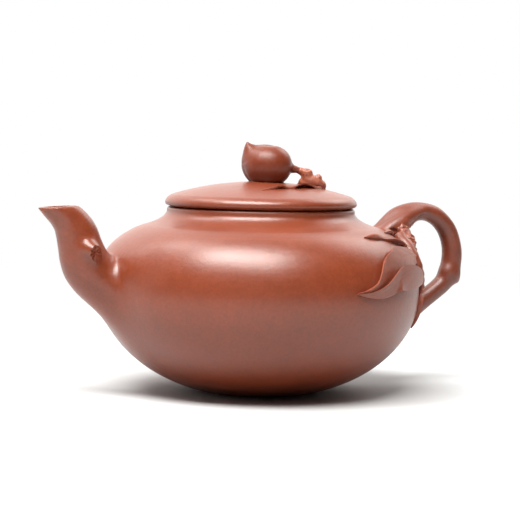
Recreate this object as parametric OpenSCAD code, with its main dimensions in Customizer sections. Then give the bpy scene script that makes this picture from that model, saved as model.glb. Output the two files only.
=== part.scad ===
// Hand-built clay teapot with a peach branch for its handle and a peach for its knob.
// Millimetres, +Z up. The origin is the centre of the foot. The spout points to -X
// and the handle to +X.

/* [Pot] */
// Height of the widest level above the table
belly_z = 36.5; // [35:0.5:38]
// Radius at the widest level
belly_r = 57.5; // [56:0.5:59]
// Thickness of the beaten clay wall
wall = 3; // [2.5:0.1:3.5]
// Outer radius of the neck
neck_r = 33.8; // [33.5:0.1:34]
// Radius of the round mouth inside the neck
mouth_r = 30.5; // [30:0.1:30.8]
// Height of the mouth above the table
mouth_z = 66; // [65:0.5:67]
// Outer radius of the ring that the pot stands on
foot_r = 20; // [19.5:0.1:21]
// Inner radius of that ring, where the base disc is set in
base_r = 17; // [15:0.5:17.5]

/* [Lid] */
// Outer radius of the lid
lid_r = 34.5; // [34:0.1:35]
// Height of the lid's centre above the mouth
lid_rise = 9.4; // [9:0.1:10.5]
// How far the lid's flange reaches down into the mouth
flange_depth = 7.5; // [6:0.5:9]
// Gap between the flange and the mouth, all round
flange_gap = 0.3; // [0.2:0.05:0.4]
// Turn of the lid and its peach at rest, about the vertical axis
lid_turn = -25; // [-180:5:180]
// Radius of the air hole in the lid
vent_r = 1.25; // [1:0.25:2]

/* [Spout and strainer] */
// Height of the centre of the spout's root
spout_root_z = 35.5; // [34:0.5:37]
// Radius of the hole in the wall behind the spout
spout_hole_r = 7; // [6:0.5:7.5]
// Radius of each strainer hole
strainer_hole_r = 0.9; // [0.6:0.1:1]

/* [Hidden] */
$fn = 96;

CLAY = [0.60, 0.33, 0.26];
LEAF_CLAY = [0.57, 0.35, 0.30];

// Belly: an ellipse below the widest level and another above it, each [centre radius, a, b].
LOWER = [5, belly_r - 5, belly_z / sqrt(1 - pow((foot_r - 5) / (belly_r - 5), 2))];
UPPER = [36, belly_r - 36, 23.9];
FOOT_LAT = -asin(belly_z / LOWER[2]);
FLOOR_Z = 4;
RECESS = 1.2;
WALL_TOP_LAT = 60;
SHOULDER_TOP_LAT = 76;
NECK_BASE_Z = 61.6;
RIM_Z = mouth_z - 1.2;
BITE = 0.8; // how deep a luted piece sits in the clay that it is pressed onto

// ---- vectors, splines and skins ------------------------------------------------------------

function unit(v) = v / norm(v);

// The point at u on a smooth curve through P, where u counts P's points.
function spline(P, u) =
    let (last = len(P) - 1, i = min(floor(u), last - 1), f = u - i,
         a = P[max(i - 1, 0)], b = P[i], c = P[i + 1], d = P[min(i + 2, last)])
    0.5 * (2 * b + (c - a) * f + (2 * a - 5 * b + 4 * c - d) * f * f
           + (3 * b - a - 3 * c + d) * f * f * f);

// The curve through P as a list, with per steps between two of its points.
function smooth(P, per) = [for (i = [0 : per * (len(P) - 1)]) spline(P, i / per)];

// A round ring of n points at c, square to t.
function ring(c, t, r, ref, n) =
    let (s = unit(cross(t, ref)), b = cross(unit(t), s))
    [for (k = [0 : n - 1]) c + r * (cos(360 * k / n) * s + sin(360 * k / n) * b)];

// Rings along a curve through stations [x, y, z, radius].
function tube_rings(stations, per, ref, n) =
    let (P = smooth(stations, per), last = len(P) - 1)
    [for (i = [0 : last])
        let (c = P[i], t = P[min(i + 1, last)] - P[max(i - 1, 0)])
        ring([c[0], c[1], c[2]], [t[0], t[1], t[2]], c[3], ref, n)];

function side_faces(i, j, n) =
    [for (k = [0 : n - 1])
        let (a = i * n + k, b = j * n + k, c = j * n + (k + 1) % n, d = i * n + (k + 1) % n)
        each [[a, b, c], [a, c, d]]];

// A cap on a ring of n points that starts at point s: triangles across it, rung by rung.
function cap_faces(s, n, back) =
    [for (k = [0 : n / 2 - 2])
        let (a = s + k, b = s + k + 1, c = s + n - 2 - k, d = s + n - 1 - k)
        each back ? [[a, d, c], [a, c, b]] : [[a, c, d], [a, b, c]]];

// A solid through the rings, closed by a cap on its first and last ring.
module skin(rings) {
    n = len(rings[0]);
    last = len(rings) - 1;
    polyhedron(
        points = [for (r = rings) each r],
        faces = concat(
            cap_faces(0, n, false),
            [for (i = [0 : last - 1]) each side_faces(i, i + 1, n)],
            cap_faces(last * n, n, true))
    );
}

// A solid through rings whose last ring joins the first again, such as a pipe's two walls.
module looped_skin(rings) {
    n = len(rings[0]);
    m = len(rings);
    polyhedron(
        points = [for (r = rings) each r],
        faces = [for (i = [0 : m - 1]) each side_faces(i, (i + 1) % m, n)]
    );
}

module tube(stations, per = 3, ref = [0, 1, 0], n = 14) {
    skin(tube_rings(stations, per, ref, n));
}

// ---- the belly as a surface ----------------------------------------------------------------

// [radius, height] at a latitude, moved out along the surface's normal.
function belly(lat, out = 0) =
    let (e = lat < 0 ? LOWER : UPPER,
         normal = unit([cos(lat) / e[1], sin(lat) / e[2]]))
    [e[0] + e[1] * cos(lat), belly_z + e[2] * sin(lat)] + out * normal;

// The same as a point in space, at a longitude counted from the handle.
function on_belly(p) =
    let (q = belly(p[1], p[2]))
    [q[0] * cos(p[0]), q[0] * sin(p[0]), q[1]];

// The point p dropped onto the belly.
function dropped(p, out) =
    let (e = p[2] < belly_z ? LOWER : UPPER,
         lat = atan2((p[2] - belly_z) / e[2], (norm([p[0], p[1]]) - e[0]) / e[1]))
    on_belly([atan2(p[1], p[0]), lat, out]);

function dropped_ring(r, out) = [for (p = r) dropped(p, out)];

// Shoulder to neck: a Bezier that leaves the belly along it and ends upright.
function neck_curve(f) =
    let (a = belly(SHOULDER_TOP_LAT),
         b = a + 3.6 * unit([-UPPER[1] * sin(SHOULDER_TOP_LAT), UPPER[2] * cos(SHOULDER_TOP_LAT)]),
         d = [neck_r, RIM_Z], c = d - [0, 2.2], g = 1 - f)
    g * g * g * a + 3 * g * g * f * b + 3 * g * f * f * c + f * f * f * d;

NECK = [for (i = [0 : 24]) neck_curve(i / 24)];

// ---- pot -----------------------------------------------------------------------------------

module belly_wall() {
    step = (WALL_TOP_LAT - FOOT_LAT) / 56;
    outer = [for (i = [0 : 56]) belly(FOOT_LAT + i * step)];
    inner = [for (i = [56 : -1 : 0]) belly(FOOT_LAT + i * step, -wall)];
    cavity = [for (p = inner) if (p[1] > FLOOR_Z) p];
    color(CLAY) difference() {
        rotate_extrude()
            polygon(concat([[base_r, 0]], outer, cavity, [[22, FLOOR_Z], [base_r, FLOOR_Z]]));
        translate([-belly_r - 1, 0, spout_root_z]) rotate([0, 90, 0])
            cylinder(r = spout_hole_r, h = 10);
    }
}

module base_disc() {
    color(CLAY) rotate_extrude()
        polygon([[0, RECESS + 0.3], [base_r - 2, RECESS], [base_r, 0.5], [base_r, FLOOR_Z],
                 [0, FLOOR_Z]]);
}

module shoulder_disc() {
    lats = [for (i = [0 : 8]) WALL_TOP_LAT + i * (SHOULDER_TOP_LAT - WALL_TOP_LAT) / 8];
    rise = [for (p = NECK) if (p[1] < NECK_BASE_Z && p[1] > belly(SHOULDER_TOP_LAT)[1]) p];
    cut_r = lookup(NECK_BASE_Z, [for (p = NECK) [p[1], p[0]]]);
    under = [for (i = [8 : -1 : 0]) belly(lats[i], -wall)];
    color(CLAY) rotate_extrude()
        polygon(concat([for (lat = lats) belly(lat)], rise, [[cut_r, NECK_BASE_Z],
            [mouth_r, NECK_BASE_Z], [mouth_r, 60], [32, 58.6], [35, 57.9]], under));
}

module neck_ring() {
    cut_r = lookup(NECK_BASE_Z, [for (p = NECK) [p[1], p[0]]]);
    color(CLAY) rotate_extrude()
        polygon(concat([[mouth_r, NECK_BASE_Z], [cut_r, NECK_BASE_Z]],
            [for (p = NECK) if (p[1] > NECK_BASE_Z && p[1] < RIM_Z) p],
            [[neck_r, RIM_Z], [mouth_r, RIM_Z]]));
}

module mouth_ring() {
    color(CLAY) rotate_extrude()
        polygon([[mouth_r, RIM_Z], [neck_r, RIM_Z], [neck_r, mouth_z - 0.4],
                 [neck_r - 0.4, mouth_z], [mouth_r + 0.3, mouth_z], [mouth_r, mouth_z - 0.3]]);
}

module ball_strainer() {
    dome = 9;
    shell = 1.6;
    color(CLAY) translate([-(belly_r - wall) - 0.1, 0, spout_root_z]) rotate([0, 90, 0]) difference() {
        rotate([0, 90, 0]) sphere(r = dome, $fn = 48);
        rotate([0, 90, 0]) sphere(r = dome - shell, $fn = 48);
        translate([0, 0, -9.4]) cube(20, center = true);
        for (band = [[0, 1], [30, 6], [56, 12]], i = [0 : band[1] - 1])
            rotate([0, band[0], 360 * (i + 0.5) / band[1]])
                cylinder(r = strainer_hole_r, h = dome + 1, $fn = 32);
    }
}

// ---- spout ---------------------------------------------------------------------------------

SPOUT_SIDES = 28;
// Sections from the root to the mouth: [x, z on the outer side, x, z on the inner one, half width].
SPOUT = [
    [-61.0, 29.2, -58.2, 49.6, 10.9], [-65.7, 32.9, -59.2, 51.0, 10.0], [-69.8, 36.4, -60.0, 52.3, 9.2],
    [-73.2, 40.4, -60.6, 53.6, 8.6], [-75.2, 45.2, -61.2, 55.2, 8.1], [-75.9, 50.4, -61.9, 57.0, 7.6],
    [-76.8, 55.4, -62.9, 59.2, 7.1], [-78.2, 59.6, -64.6, 61.8, 6.5], [-80.8, 62.9, -67.0, 64.2, 5.9],
    [-83.8, 65.6, -69.8, 66.5, 5.2],
];
// Root rings on the belly: [lowest latitude, highest one, half width in degrees, height above it].
SPOUT_ROOT = [[-20.5, 32, 14.8, -BITE], [-19, 30.5, 13.6, 0.1], [-16, 28, 12, 1.5]];

// One section, narrower towards its outer side and thinned by w.
function spout_ring(s, w) =
    let (a = [s[0], s[1]], b = [s[2], s[3]], c = (a + b) / 2, half = (a - b) / 2 - w * unit(a - b))
    [for (k = [0 : SPOUT_SIDES - 1])
        let (t = 360 * k / SPOUT_SIDES, q = c + half * cos(t))
        [q[0], (s[4] - w) * sin(t) * (1 - 0.16 * cos(t)), q[1]]];

function root_ring(r) =
    [for (k = [0 : SPOUT_SIDES - 1])
        let (t = 360 * k / SPOUT_SIDES)
        on_belly([180 - r[2] * sin(t), (r[0] + r[1]) / 2 - (r[1] - r[0]) / 2 * cos(t), r[3]])];

module spout() {
    n = 2 * (len(SPOUT) - 1);
    lat = asin((spout_root_z - belly_z) / LOWER[2]);
    outer = concat([for (r = SPOUT_ROOT) root_ring(r)],
        [for (i = [0 : n]) spout_ring(spline(SPOUT, i / 2), 0)]);
    bore = concat([for (i = [n : -1 : 1]) spout_ring(spline(SPOUT, i / 2), 2.8 - 1.1 * i / n)],
        [root_ring([lat - 10, lat + 13, 9.4, 3.4]), root_ring([lat - 10, lat + 12, 8, -BITE])]);
    rings = concat(outer, bore);
    color(CLAY) looped_skin([for (i = [len(rings) - 1 : -1 : 0]) rings[i]]);
}

module spout_knot() {
    color(CLAY) translate([-66.2, -6.2, 50.4]) rotate([112, 0, 18]) rotate_extrude()
        polygon([[0, 0], [3.6, 0], [2.6, 1.6], [2.0, 3.4], [1.5, 3.9], [0.6, 3.5], [0, 3.3]]);
}

// ---- handle --------------------------------------------------------------------------------

// The branch from the shoulder, over the top and down to the belly: [x, y, z, radius].
BRANCH = [
    [48.2, 0, 55.8, 5.2], [52.4, 0, 59.2, 4.9], [57.2, 0, 62.3, 4.5], [62.4, 0, 64.2, 4.0],
    [67.4, 0, 64.2, 3.6], [72.2, 0, 62.8, 3.5], [76.0, 0, 59.7, 3.45], [78.5, 0, 55.8, 3.5],
    [79.9, 0, 51.2, 3.7], [80.1, 0, 46.4, 3.8], [79.1, 0, 41.8, 3.8], [76.4, 0, 37.8, 3.6],
    [72.1, 0, 34.3, 3.4], [67.4, 0, 31.2, 3.6], [63.0, 0, 28.8, 4.1], [59.4, 0, 27.2, 4.8],
];

module handle_branch() {
    rings = tube_rings(BRANCH, 2, [0, 1, 0], 18);
    last = len(rings) - 1;
    color(CLAY) skin(concat([dropped_ring(rings[0], -BITE)], rings,
        [dropped_ring(rings[last], -BITE)]));
}

// The side branch that leaves the handle near its top and comes down on the shoulder.
FORK = [
    [61.8, 0.0, 62.2, 2.6], [58.8, -2.4, 60.2, 3.0], [56.0, -5.4, 58.0, 3.1], [54.0, -9.2, 56.0, 3.0],
    [52.8, -13.0, 54.2, 2.9], [51.6, -17.0, 52.2, 2.6],
];

module handle_fork() {
    color(CLAY) tube(FORK, ref = [0, 0, 1]);
}

// Round scars where twigs were cut away.
module large_burl() {
    color(CLAY) translate([55.0, -8.3, 57.0]) sphere(r = 2.5);
}

module small_burl() {
    color(CLAY) translate([52.4, -15.4, 54.8]) sphere(r = 2.2);
}

module handle_stub() {
    color(CLAY) translate([79.0, -0.6, 41.0]) rotate([0, 126, 0]) rotate_extrude()
        polygon([[0, 0], [3.4, 0], [2.7, 2.8], [2.0, 5.0], [1.2, 5.5], [0, 5.2]]);
}

// ---- leaves on the belly -------------------------------------------------------------------

// Five points across a leaf from its right edge to its left one, bowed to meet its middle line.
function across(right, middle, left) =
    let (crown = middle - (right + left) / 2)
    [for (f = [0 : 0.25 : 1]) right + (left - right) * f + crown * (4 * f * (1 - f))];

// A leaf from its stalk to its tip. Its three lines are points for place(), the last number of
// each being the height above the surface. Where it stands higher than lift its edge is free, so
// it is only thick there; the rest is pressed down to just under the surface.
module leaf(right, middle, left, place, thick = 0.9, lift = 1.9, per = 3) {
    R = smooth(right, per);
    M = smooth(middle, per);
    L = smooth(left, per);
    skin([for (i = [0 : len(R) - 1])
        let (top = across(R[i], M[i], L[i]))
        concat([for (p = top) place([p[0], p[1], p[2] > lift ? p[2] - thick : -0.3])],
               [for (j = [len(top) - 1 : -1 : 0]) place(top[j])])]);
}

on_pot = function (p) on_belly(p);

// The twig that runs down the belly beside the handle and carries the leaves.
TWIG = [
    [-17, 48, 1.6, 2.4], [-21, 41, 1.2, 2.3], [-24, 33, 1.0, 2.1], [-25.5, 24, 0.9, 1.9],
    [-26, 14, 0.8, 1.7], [-25.5, 5, 0.7, 1.4],
];

module leaf_twig() {
    color(CLAY) tube([for (s = TWIG) concat(on_belly(s), [s[3]])], ref = [1, 0, 0], n = 12);
}

module broad_leaf() {
    color(LEAF_CLAY) leaf(
        right = [[-26, 36, 1.2], [-34, 43, 1.6], [-43, 46, 1.7], [-52, 45.6, 2.1], [-58, 38, 2.3],
                 [-64.2, 31.6, 2.2], [-66.6, 23, 2.2], [-70.4, 14, 2.0], [-74.6, 9.6, 1.6],
                 [-79, 7.6, 0.9]],
        middle = [[-26, 32, 1.6], [-33, 35, 1.8], [-41, 36, 1.7], [-49, 34, 1.5], [-55, 29, 1.4],
                  [-60, 23, 1.3], [-64.5, 16, 1.3], [-69, 10.5, 1.3], [-74, 8, 1.2],
                  [-79, 7.3, 0.8]],
        left = [[-26, 26, 1.2], [-32, 26, 1.2], [-39, 25, 1.1], [-46, 22, 1.0], [-52, 17, 1.0],
                [-58, 12, 1.0], [-63.5, 8.2, 1.0], [-69, 6.4, 1.0], [-74, 6.2, 1.0],
                [-79, 7.0, 0.7]],
        place = on_pot);
}

module curled_leaf() {
    color(LEAF_CLAY) leaf(
        right = [[-27, 14, 2.0], [-33, 20, 2.5], [-41, 25, 2.6], [-49.6, 28, 2.7], [-57, 25, 2.6],
                 [-62, 17.6, 2.5], [-66.4, 9, 2.3], [-71.4, 5.6, 1.8], [-76, 6, 1.3]],
        middle = [[-27, 11, 2.4], [-33, 16, 3.3], [-41, 21, 3.7], [-49.4, 22.6, 3.7], [-56.4, 18, 3.2],
                  [-61, 12, 2.6], [-65.6, 6, 2.2], [-71, 4.2, 1.7], [-76, 5.6, 1.2]],
        left = [[-27, 7, 1.6], [-33, 8, 1.6], [-41, 8.8, 1.5], [-49, 9.2, 1.4], [-55.4, 7.6, 1.4],
                [-60.4, 4.6, 1.4], [-65.4, 2, 1.4], [-70.6, 2.2, 1.3], [-76, 5.2, 1.0]],
        place = on_pot);
}

module narrow_leaf() {
    color(LEAF_CLAY) leaf(
        right = [[-24, 48, 1.2], [-32, 54, 1.4], [-41, 57, 1.3], [-50, 60, 1.0], [-58, 62.5, 1.2],
                 [-64, 61.6, 0.8]],
        middle = [[-24, 46, 1.6], [-32, 50.5, 1.7], [-41, 54, 1.4], [-50, 57.5, 1.0], [-58, 60, 1.4],
                  [-64, 61, 0.8]],
        left = [[-24, 44, 1.2], [-32, 47, 1.6], [-41, 51.4, 1.4], [-50, 55.6, 0.9], [-58, 57.4, 1.1],
                [-64, 60.4, 0.8]],
        place = on_pot);
}

module upper_leaf() {
    color(LEAF_CLAY) leaf(
        right = [[-14, 58, 1.2], [-22, 64, 1.3], [-30, 66, 1.1], [-38, 65, 0.9]],
        middle = [[-14, 56, 1.5], [-22, 60, 1.6], [-30, 62.6, 1.3], [-38, 64.4, 0.9]],
        left = [[-14, 54, 1.2], [-22, 56, 1.4], [-30, 59.4, 1.1], [-38, 63.8, 0.9]],
        place = on_pot);
}

module hanging_leaf() {
    color(LEAF_CLAY) leaf(
        right = [[-28, 6, 1.4], [-31, -2, 2.6], [-33, -10, 2.4], [-33, -18, 1.8], [-31, -24, 1.0]],
        middle = [[-26.5, 6, 2.0], [-28, -2, 2.2], [-29, -10, 1.8], [-30, -18, 1.4], [-30.4, -24, 0.9]],
        left = [[-25, 6, 1.4], [-24, -2, 1.4], [-25, -10, 1.2], [-27, -18, 1.0], [-29.8, -24, 0.8]],
        place = on_pot);
}

// ---- lid -----------------------------------------------------------------------------------

LID_TOP = mouth_z + lid_rise;
DOME_R = 107; // radius of the sphere that the lid's top is part of
RIM_LOW_R = lid_r - 0.6;

function dome_z(r) = LID_TOP - DOME_R + sqrt(DOME_R * DOME_R - r * r);

// The lid's edge: a soft round from the dome down to the seat.
function rim_curve(f) =
    let (a = [32.2, dome_z(32.2)], b = [34.4, 69], c = [lid_r + 0.35, 67.2], d = [RIM_LOW_R, mouth_z],
         g = 1 - f)
    g * g * g * a + 3 * g * g * f * b + 3 * g * f * f * c + f * f * f * d;

// A point of the lid's own frame, [x, y, height above the dome].
function on_lid(p) = [p[0], p[1], dome_z(norm([p[0], p[1]])) + p[2]];

on_dome = function (p) on_lid(p);

module turned() {
    rotate([0, 0, lid_turn]) children();
}

module lid_flange() {
    out_r = mouth_r - flange_gap;
    low = mouth_z - flange_depth;
    color(CLAY) rotate_extrude()
        polygon([[out_r - 3, mouth_z], [out_r - 2.6, low + 0.4], [out_r - 2.2, low], [out_r - 0.6, low],
                 [out_r - 0.2, low + 0.5], [out_r, mouth_z - 1], [out_r, mouth_z]]);
}

module lid_plate() {
    hollow_r = mouth_r - flange_gap - 3;
    inside = [for (i = [0 : 14]) let (r = (hollow_r - 1) * (1 - i / 14)) [r, dome_z(r) - 3.4]];
    outside = [for (i = [0 : 28]) let (r = 32.2 * i / 28) [r, dome_z(r)]];
    color(CLAY) turned() difference() {
        rotate_extrude()
            polygon(concat([[hollow_r, mouth_z]], inside, outside,
                [for (i = [1 : 14]) rim_curve(i / 14)]));
        translate([-4, 17, 60]) cylinder(r = vent_r, h = 20);
    }
}

// Peach: an ellipsoid with a flatter top, a beak at its upper left and a cleft along its top.
PEACH_AT = [1.6, 0, 81.8];
PEACH_SIZE = [9.0, 8.5, 7.0];
PEACH_DEPTH = 9.5; // the lower half's height before the lid cuts it off
BEAK = unit([-0.70, 0, 0.72]);

function peach_radius(d) =
    let (e = [PEACH_SIZE[0], PEACH_SIZE[1], d[2] > 0 ? PEACH_SIZE[2] : PEACH_DEPTH],
         plain = 1 / norm([d[0] / e[0], d[1] / e[1], d[2] / e[2]]),
         beak = 4.6 * exp(-acos(min(1, d * BEAK)) / 11),
         cleft = 0.7 * exp(-pow(d[1] / 0.14, 2)) * max(0, d[2]))
    plain + beak - cleft;

module peach_knob() {
    n = 26;
    low = dome_z(0) - BITE;
    color(CLAY) turned() skin([for (lat = [-88 : 8 : 88])
        [for (k = [0 : n - 1])
            let (a = -360 * k / n, d = [cos(lat) * cos(a), cos(lat) * sin(a), sin(lat)],
                 p = PEACH_AT + peach_radius(d) * d)
            [p[0], p[1], max(p[2], low)]]]);
}

module peach_stem() {
    color(CLAY) turned() tube([
        [8.6, 0, 81.2, 2.3], [10.8, 0, 80.5, 1.7], [12.8, 0, 79.7, 1.3], [14.7, 0, 78.9, 1.3],
        [15.9, 0, 77.2, 1.5], [16.4, 0, 75.2, 1.8], [16.6, 0, 73.4, 2.0]], n = 12);
}

module lid_twig() {
    color(CLAY) turned() tube([
        [15.2, -0.4, 75.2, 1.7], [17.2, -0.6, 75.8, 2.4], [19.3, -0.8, 75.6, 2.2], [20.8, -0.6, 75.0, 1.8],
        [22.0, -0.2, 74.2, 1.3]], n = 14);
}

module tall_stub() {
    color(CLAY) turned() translate([16.8, -1.0, 76.3]) rotate([8, 8, 0]) rotate_extrude()
        polygon([[0, 0], [2.3, 0], [2.1, 2.2], [1.9, 3.2], [1.2, 3.7], [0, 3.4]]);
}

module short_stub() {
    color(CLAY) turned() translate([19.9, -0.8, 76.0]) rotate([10, 32, 0]) rotate_extrude()
        polygon([[0, 0], [1.4, 0], [1.1, 1.4], [1.2, 2.1], [0.7, 2.5], [0, 2.3]]);
}

module lid_leaf() {
    color(LEAF_CLAY) turned() leaf(
        right = [[20.5, 1.5, 0.6], [15, -1.5, 0.6], [10.5, -6, 0.6], [6.5, -10.5, 0.6], [2.8, -16, 0.6],
                 [0.6, -22.6, 0.5]],
        middle = [[21, 0, 0.8], [17.2, -4, 1.2], [13, -8.4, 0.9], [8.6, -13, 1.1], [4.4, -17.8, 0.8],
                  [0.4, -23, 0.5]],
        left = [[21.5, -1.5, 0.8], [19.6, -6, 1.9], [15.6, -11, 0.8], [11, -15, 1.5], [6, -19.4, 0.7],
                [0.2, -23.4, 0.5]],
        place = on_dome, thick = 0.7, lift = 1.3);
}

belly_wall();
base_disc();
shoulder_disc();
neck_ring();
mouth_ring();
ball_strainer();
spout();
spout_knot();
handle_branch();
handle_fork();
large_burl();
small_burl();
handle_stub();
leaf_twig();
broad_leaf();
curled_leaf();
narrow_leaf();
upper_leaf();
hanging_leaf();
lid_flange();
lid_plate();
peach_knob();
peach_stem();
lid_twig();
tall_stub();
short_stub();
lid_leaf();
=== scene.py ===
import math

import bmesh
import bpy
import numpy as np
from mathutils import Matrix, Vector


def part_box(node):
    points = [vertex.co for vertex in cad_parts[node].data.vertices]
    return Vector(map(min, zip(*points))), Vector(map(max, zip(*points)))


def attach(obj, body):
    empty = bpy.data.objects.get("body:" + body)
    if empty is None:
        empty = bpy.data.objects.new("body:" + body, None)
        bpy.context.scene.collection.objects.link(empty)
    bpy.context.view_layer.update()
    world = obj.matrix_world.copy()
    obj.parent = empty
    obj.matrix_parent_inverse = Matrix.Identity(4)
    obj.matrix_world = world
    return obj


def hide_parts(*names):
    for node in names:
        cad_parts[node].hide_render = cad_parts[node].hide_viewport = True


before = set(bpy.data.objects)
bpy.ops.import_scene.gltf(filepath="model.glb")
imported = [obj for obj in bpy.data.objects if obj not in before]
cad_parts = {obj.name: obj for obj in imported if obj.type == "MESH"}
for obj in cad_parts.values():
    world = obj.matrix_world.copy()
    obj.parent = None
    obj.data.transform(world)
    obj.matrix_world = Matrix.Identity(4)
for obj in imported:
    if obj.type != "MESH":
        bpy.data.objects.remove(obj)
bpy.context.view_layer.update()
FINE = 1.0  # cell size factor of the meshed pieces

# Everything is worked out in millimetres in the part's own frame and scaled when a mesh is made.
BELLY_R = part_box("belly_wall")[1][1] * 1000
MOUTH_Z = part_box("mouth_ring")[1][2] * 1000
LID_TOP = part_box("lid_plate")[1][2] * 1000
BELLY_Z = 36.5
FOOT_R = 20.0
BASE_R = 17.0
LOWER = (5.0, BELLY_R - 5.0, BELLY_Z / math.sqrt(1 - ((FOOT_R - 5) / (BELLY_R - 5)) ** 2))
UPPER = (36.0, BELLY_R - 36.0, 23.9)
WALL = 3.0
NECK_R = 33.8
MOUTH_R = 30.5
RIM_Z = MOUTH_Z - 1.2
NECK_BASE_Z = 61.6
DOME_R = 107.0
LID_R = 34.5
LID_TURN = math.radians(-25)
SEGMENTS = 320
FLANGE_DEPTH, FLANGE_WALL, FLANGE_GAP = 7.5, 3.0, 0.3
SPOUT_HOLE_Z, SPOUT_HOLE_R = 36.2, 6.4
AIR_HOLE, AIR_HOLE_R = (-4, 17), 1.25


# ---- numbers ---------------------------------------------------------------------------------

def unit(v):
    v = np.asarray(v, float)
    return v / np.linalg.norm(v)


def spline(points, per):
    """Points on a smooth curve through the given rows, per steps between two of them."""
    P = np.asarray(points, float)
    P = np.vstack([2 * P[0] - P[1], P, 2 * P[-1] - P[-2]])
    out = []
    for i in range(1, len(P) - 2):
        a, b, c, d = P[i - 1], P[i], P[i + 1], P[i + 2]
        for f in np.arange(per) / per:
            out.append(0.5 * (2 * b + (c - a) * f + (2 * a - 5 * b + 4 * c - d) * f ** 2
                              + (3 * b - a - 3 * c + d) * f ** 3))
    out.append(P[-2])
    return np.array(out)


def ramp(x, a, b):
    """0 at a, 1 at b, eased at both ends."""
    t = np.clip((np.asarray(x, float) - a) / (b - a), 0, 1)
    return t * t * (3 - 2 * t)


def waves(P, size, seed=0):
    """Soft lumps of about the given size, between -1 and 1."""
    rng = np.random.default_rng(seed)
    total = np.zeros(len(P))
    for _ in range(6):
        k = unit(rng.normal(size=3)) * 2 * math.pi / (size * rng.uniform(0.7, 1.5))
        total += np.sin(P @ k + rng.uniform(0, 6.28))
    return total / 3.2


# ---- the pot's outline -----------------------------------------------------------------------

def belly(lat, out=0.0):
    """Radius and height of the belly at a latitude in degrees, moved out along its normal."""
    lat = np.asarray(lat, float)
    c, s = np.cos(np.radians(lat)), np.sin(np.radians(lat))
    e0, e1, e2 = (np.where(lat < 0, a, b) for a, b in zip(LOWER, UPPER))
    nr, nz = c / e1, s / e2
    n = np.hypot(nr, nz)
    return e0 + e1 * c + out * nr / n, BELLY_Z + e2 * s + out * nz / n


def on_belly(lon, lat, out):
    """Points over the belly at a longitude and latitude in degrees and a height above it."""
    r, z = belly(lat, out)
    lon = np.radians(lon)
    return np.stack([r * np.cos(lon), r * np.sin(lon), z], -1)


def bezier(a, b, c, d, n):
    """n points on the cubic curve from a to d that leaves towards b and arrives from c."""
    f = np.linspace(0, 1, n)[:, None]
    g = 1 - f
    a, b, c, d = (np.asarray(p, float) for p in (a, b, c, d))
    return g ** 3 * a + 3 * g * g * f * b + 3 * g * f * f * c + f ** 3 * d


FOOT_LAT = -math.degrees(math.asin(BELLY_Z / LOWER[2]))
WALL_TOP_LAT, SHOULDER_TOP_LAT = 60.0, 76.0
neck_start = np.array(belly(SHOULDER_TOP_LAT))
neck_lean = unit([-UPPER[1] * math.sin(math.radians(SHOULDER_TOP_LAT)),
                  UPPER[2] * math.cos(math.radians(SHOULDER_TOP_LAT))])
NECK = bezier(neck_start, neck_start + 3.6 * neck_lean, (NECK_R, RIM_Z - 2.2), (NECK_R, RIM_Z), 41)
WALL_LATS = np.linspace(FOOT_LAT + 1.2, WALL_TOP_LAT, 120)
SHOULDER_LATS = np.linspace(WALL_TOP_LAT, SHOULDER_TOP_LAT, 17)


def dome_z(r):
    """Height of the lid's top at a radius."""
    return LID_TOP - DOME_R + np.sqrt(DOME_R ** 2 - np.asarray(r, float) ** 2)


def outline_field(points):
    """Signed distance to the solid turned from a closed outline of (radius, height) points, as a field."""
    poly = np.asarray(points, float)
    step, r0, z0 = 0.25, 0.0, -8.0
    R, Z = np.meshgrid(np.arange(r0, 100, step), np.arange(z0, 92, step), indexing="ij")
    best = np.full(R.shape, 1e9)
    inside = np.zeros(R.shape, bool)
    for a, b in zip(poly, np.roll(poly, -1, 0)):
        ab = b - a
        t = np.clip(((R - a[0]) * ab[0] + (Z - a[1]) * ab[1]) / max(ab @ ab, 1e-12), 0, 1)
        best = np.minimum(best, np.hypot(R - a[0] - t * ab[0], Z - a[1] - t * ab[1]))
        if a[1] != b[1]:
            x = a[0] + (Z - a[1]) * ab[0] / ab[1]
            inside ^= ((a[1] > Z) != (b[1] > Z)) & (R < x)
    table = np.where(inside, -best, best)

    def field(P):
        u = np.clip((np.hypot(P[:, 0], P[:, 1]) - r0) / step, 0, table.shape[0] - 1.001)
        v = np.clip((P[:, 2] - z0) / step, 0, table.shape[1] - 1.001)
        i, j = u.astype(int), v.astype(int)
        f, g = u - i, v - j
        return ((1 - f) * (1 - g) * table[i, j] + f * (1 - g) * table[i + 1, j]
                + (1 - f) * g * table[i, j + 1] + f * g * table[i + 1, j + 1])

    return field


all_lats = np.linspace(FOOT_LAT, SHOULDER_TOP_LAT, 150)
POT_OUTLINE = np.vstack([[[0, 0]], np.stack(belly(all_lats), -1), NECK[1:],
                         [[NECK_R, MOUTH_Z], [0, MOUTH_Z]]])
pot = outline_field(POT_OUTLINE)
dome_r = np.linspace(33, 0, 40)
LID_OUTLINE = np.vstack([[[0, MOUTH_Z], [LID_R, MOUTH_Z]], np.stack([dome_r, dome_z(dome_r)], -1)])
lid = outline_field(LID_OUTLINE)


# ---- signed distance shapes ------------------------------------------------------------------

def smin(a, b, k):
    """The union of two shapes, blended k wide; smax does the same for what they share."""
    h = np.maximum(k - np.abs(a - b), 0) / k
    return np.minimum(a, b) - h ** 3 * k / 6


def smax(a, b, k):
    return -smin(-a, -b, k)


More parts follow.
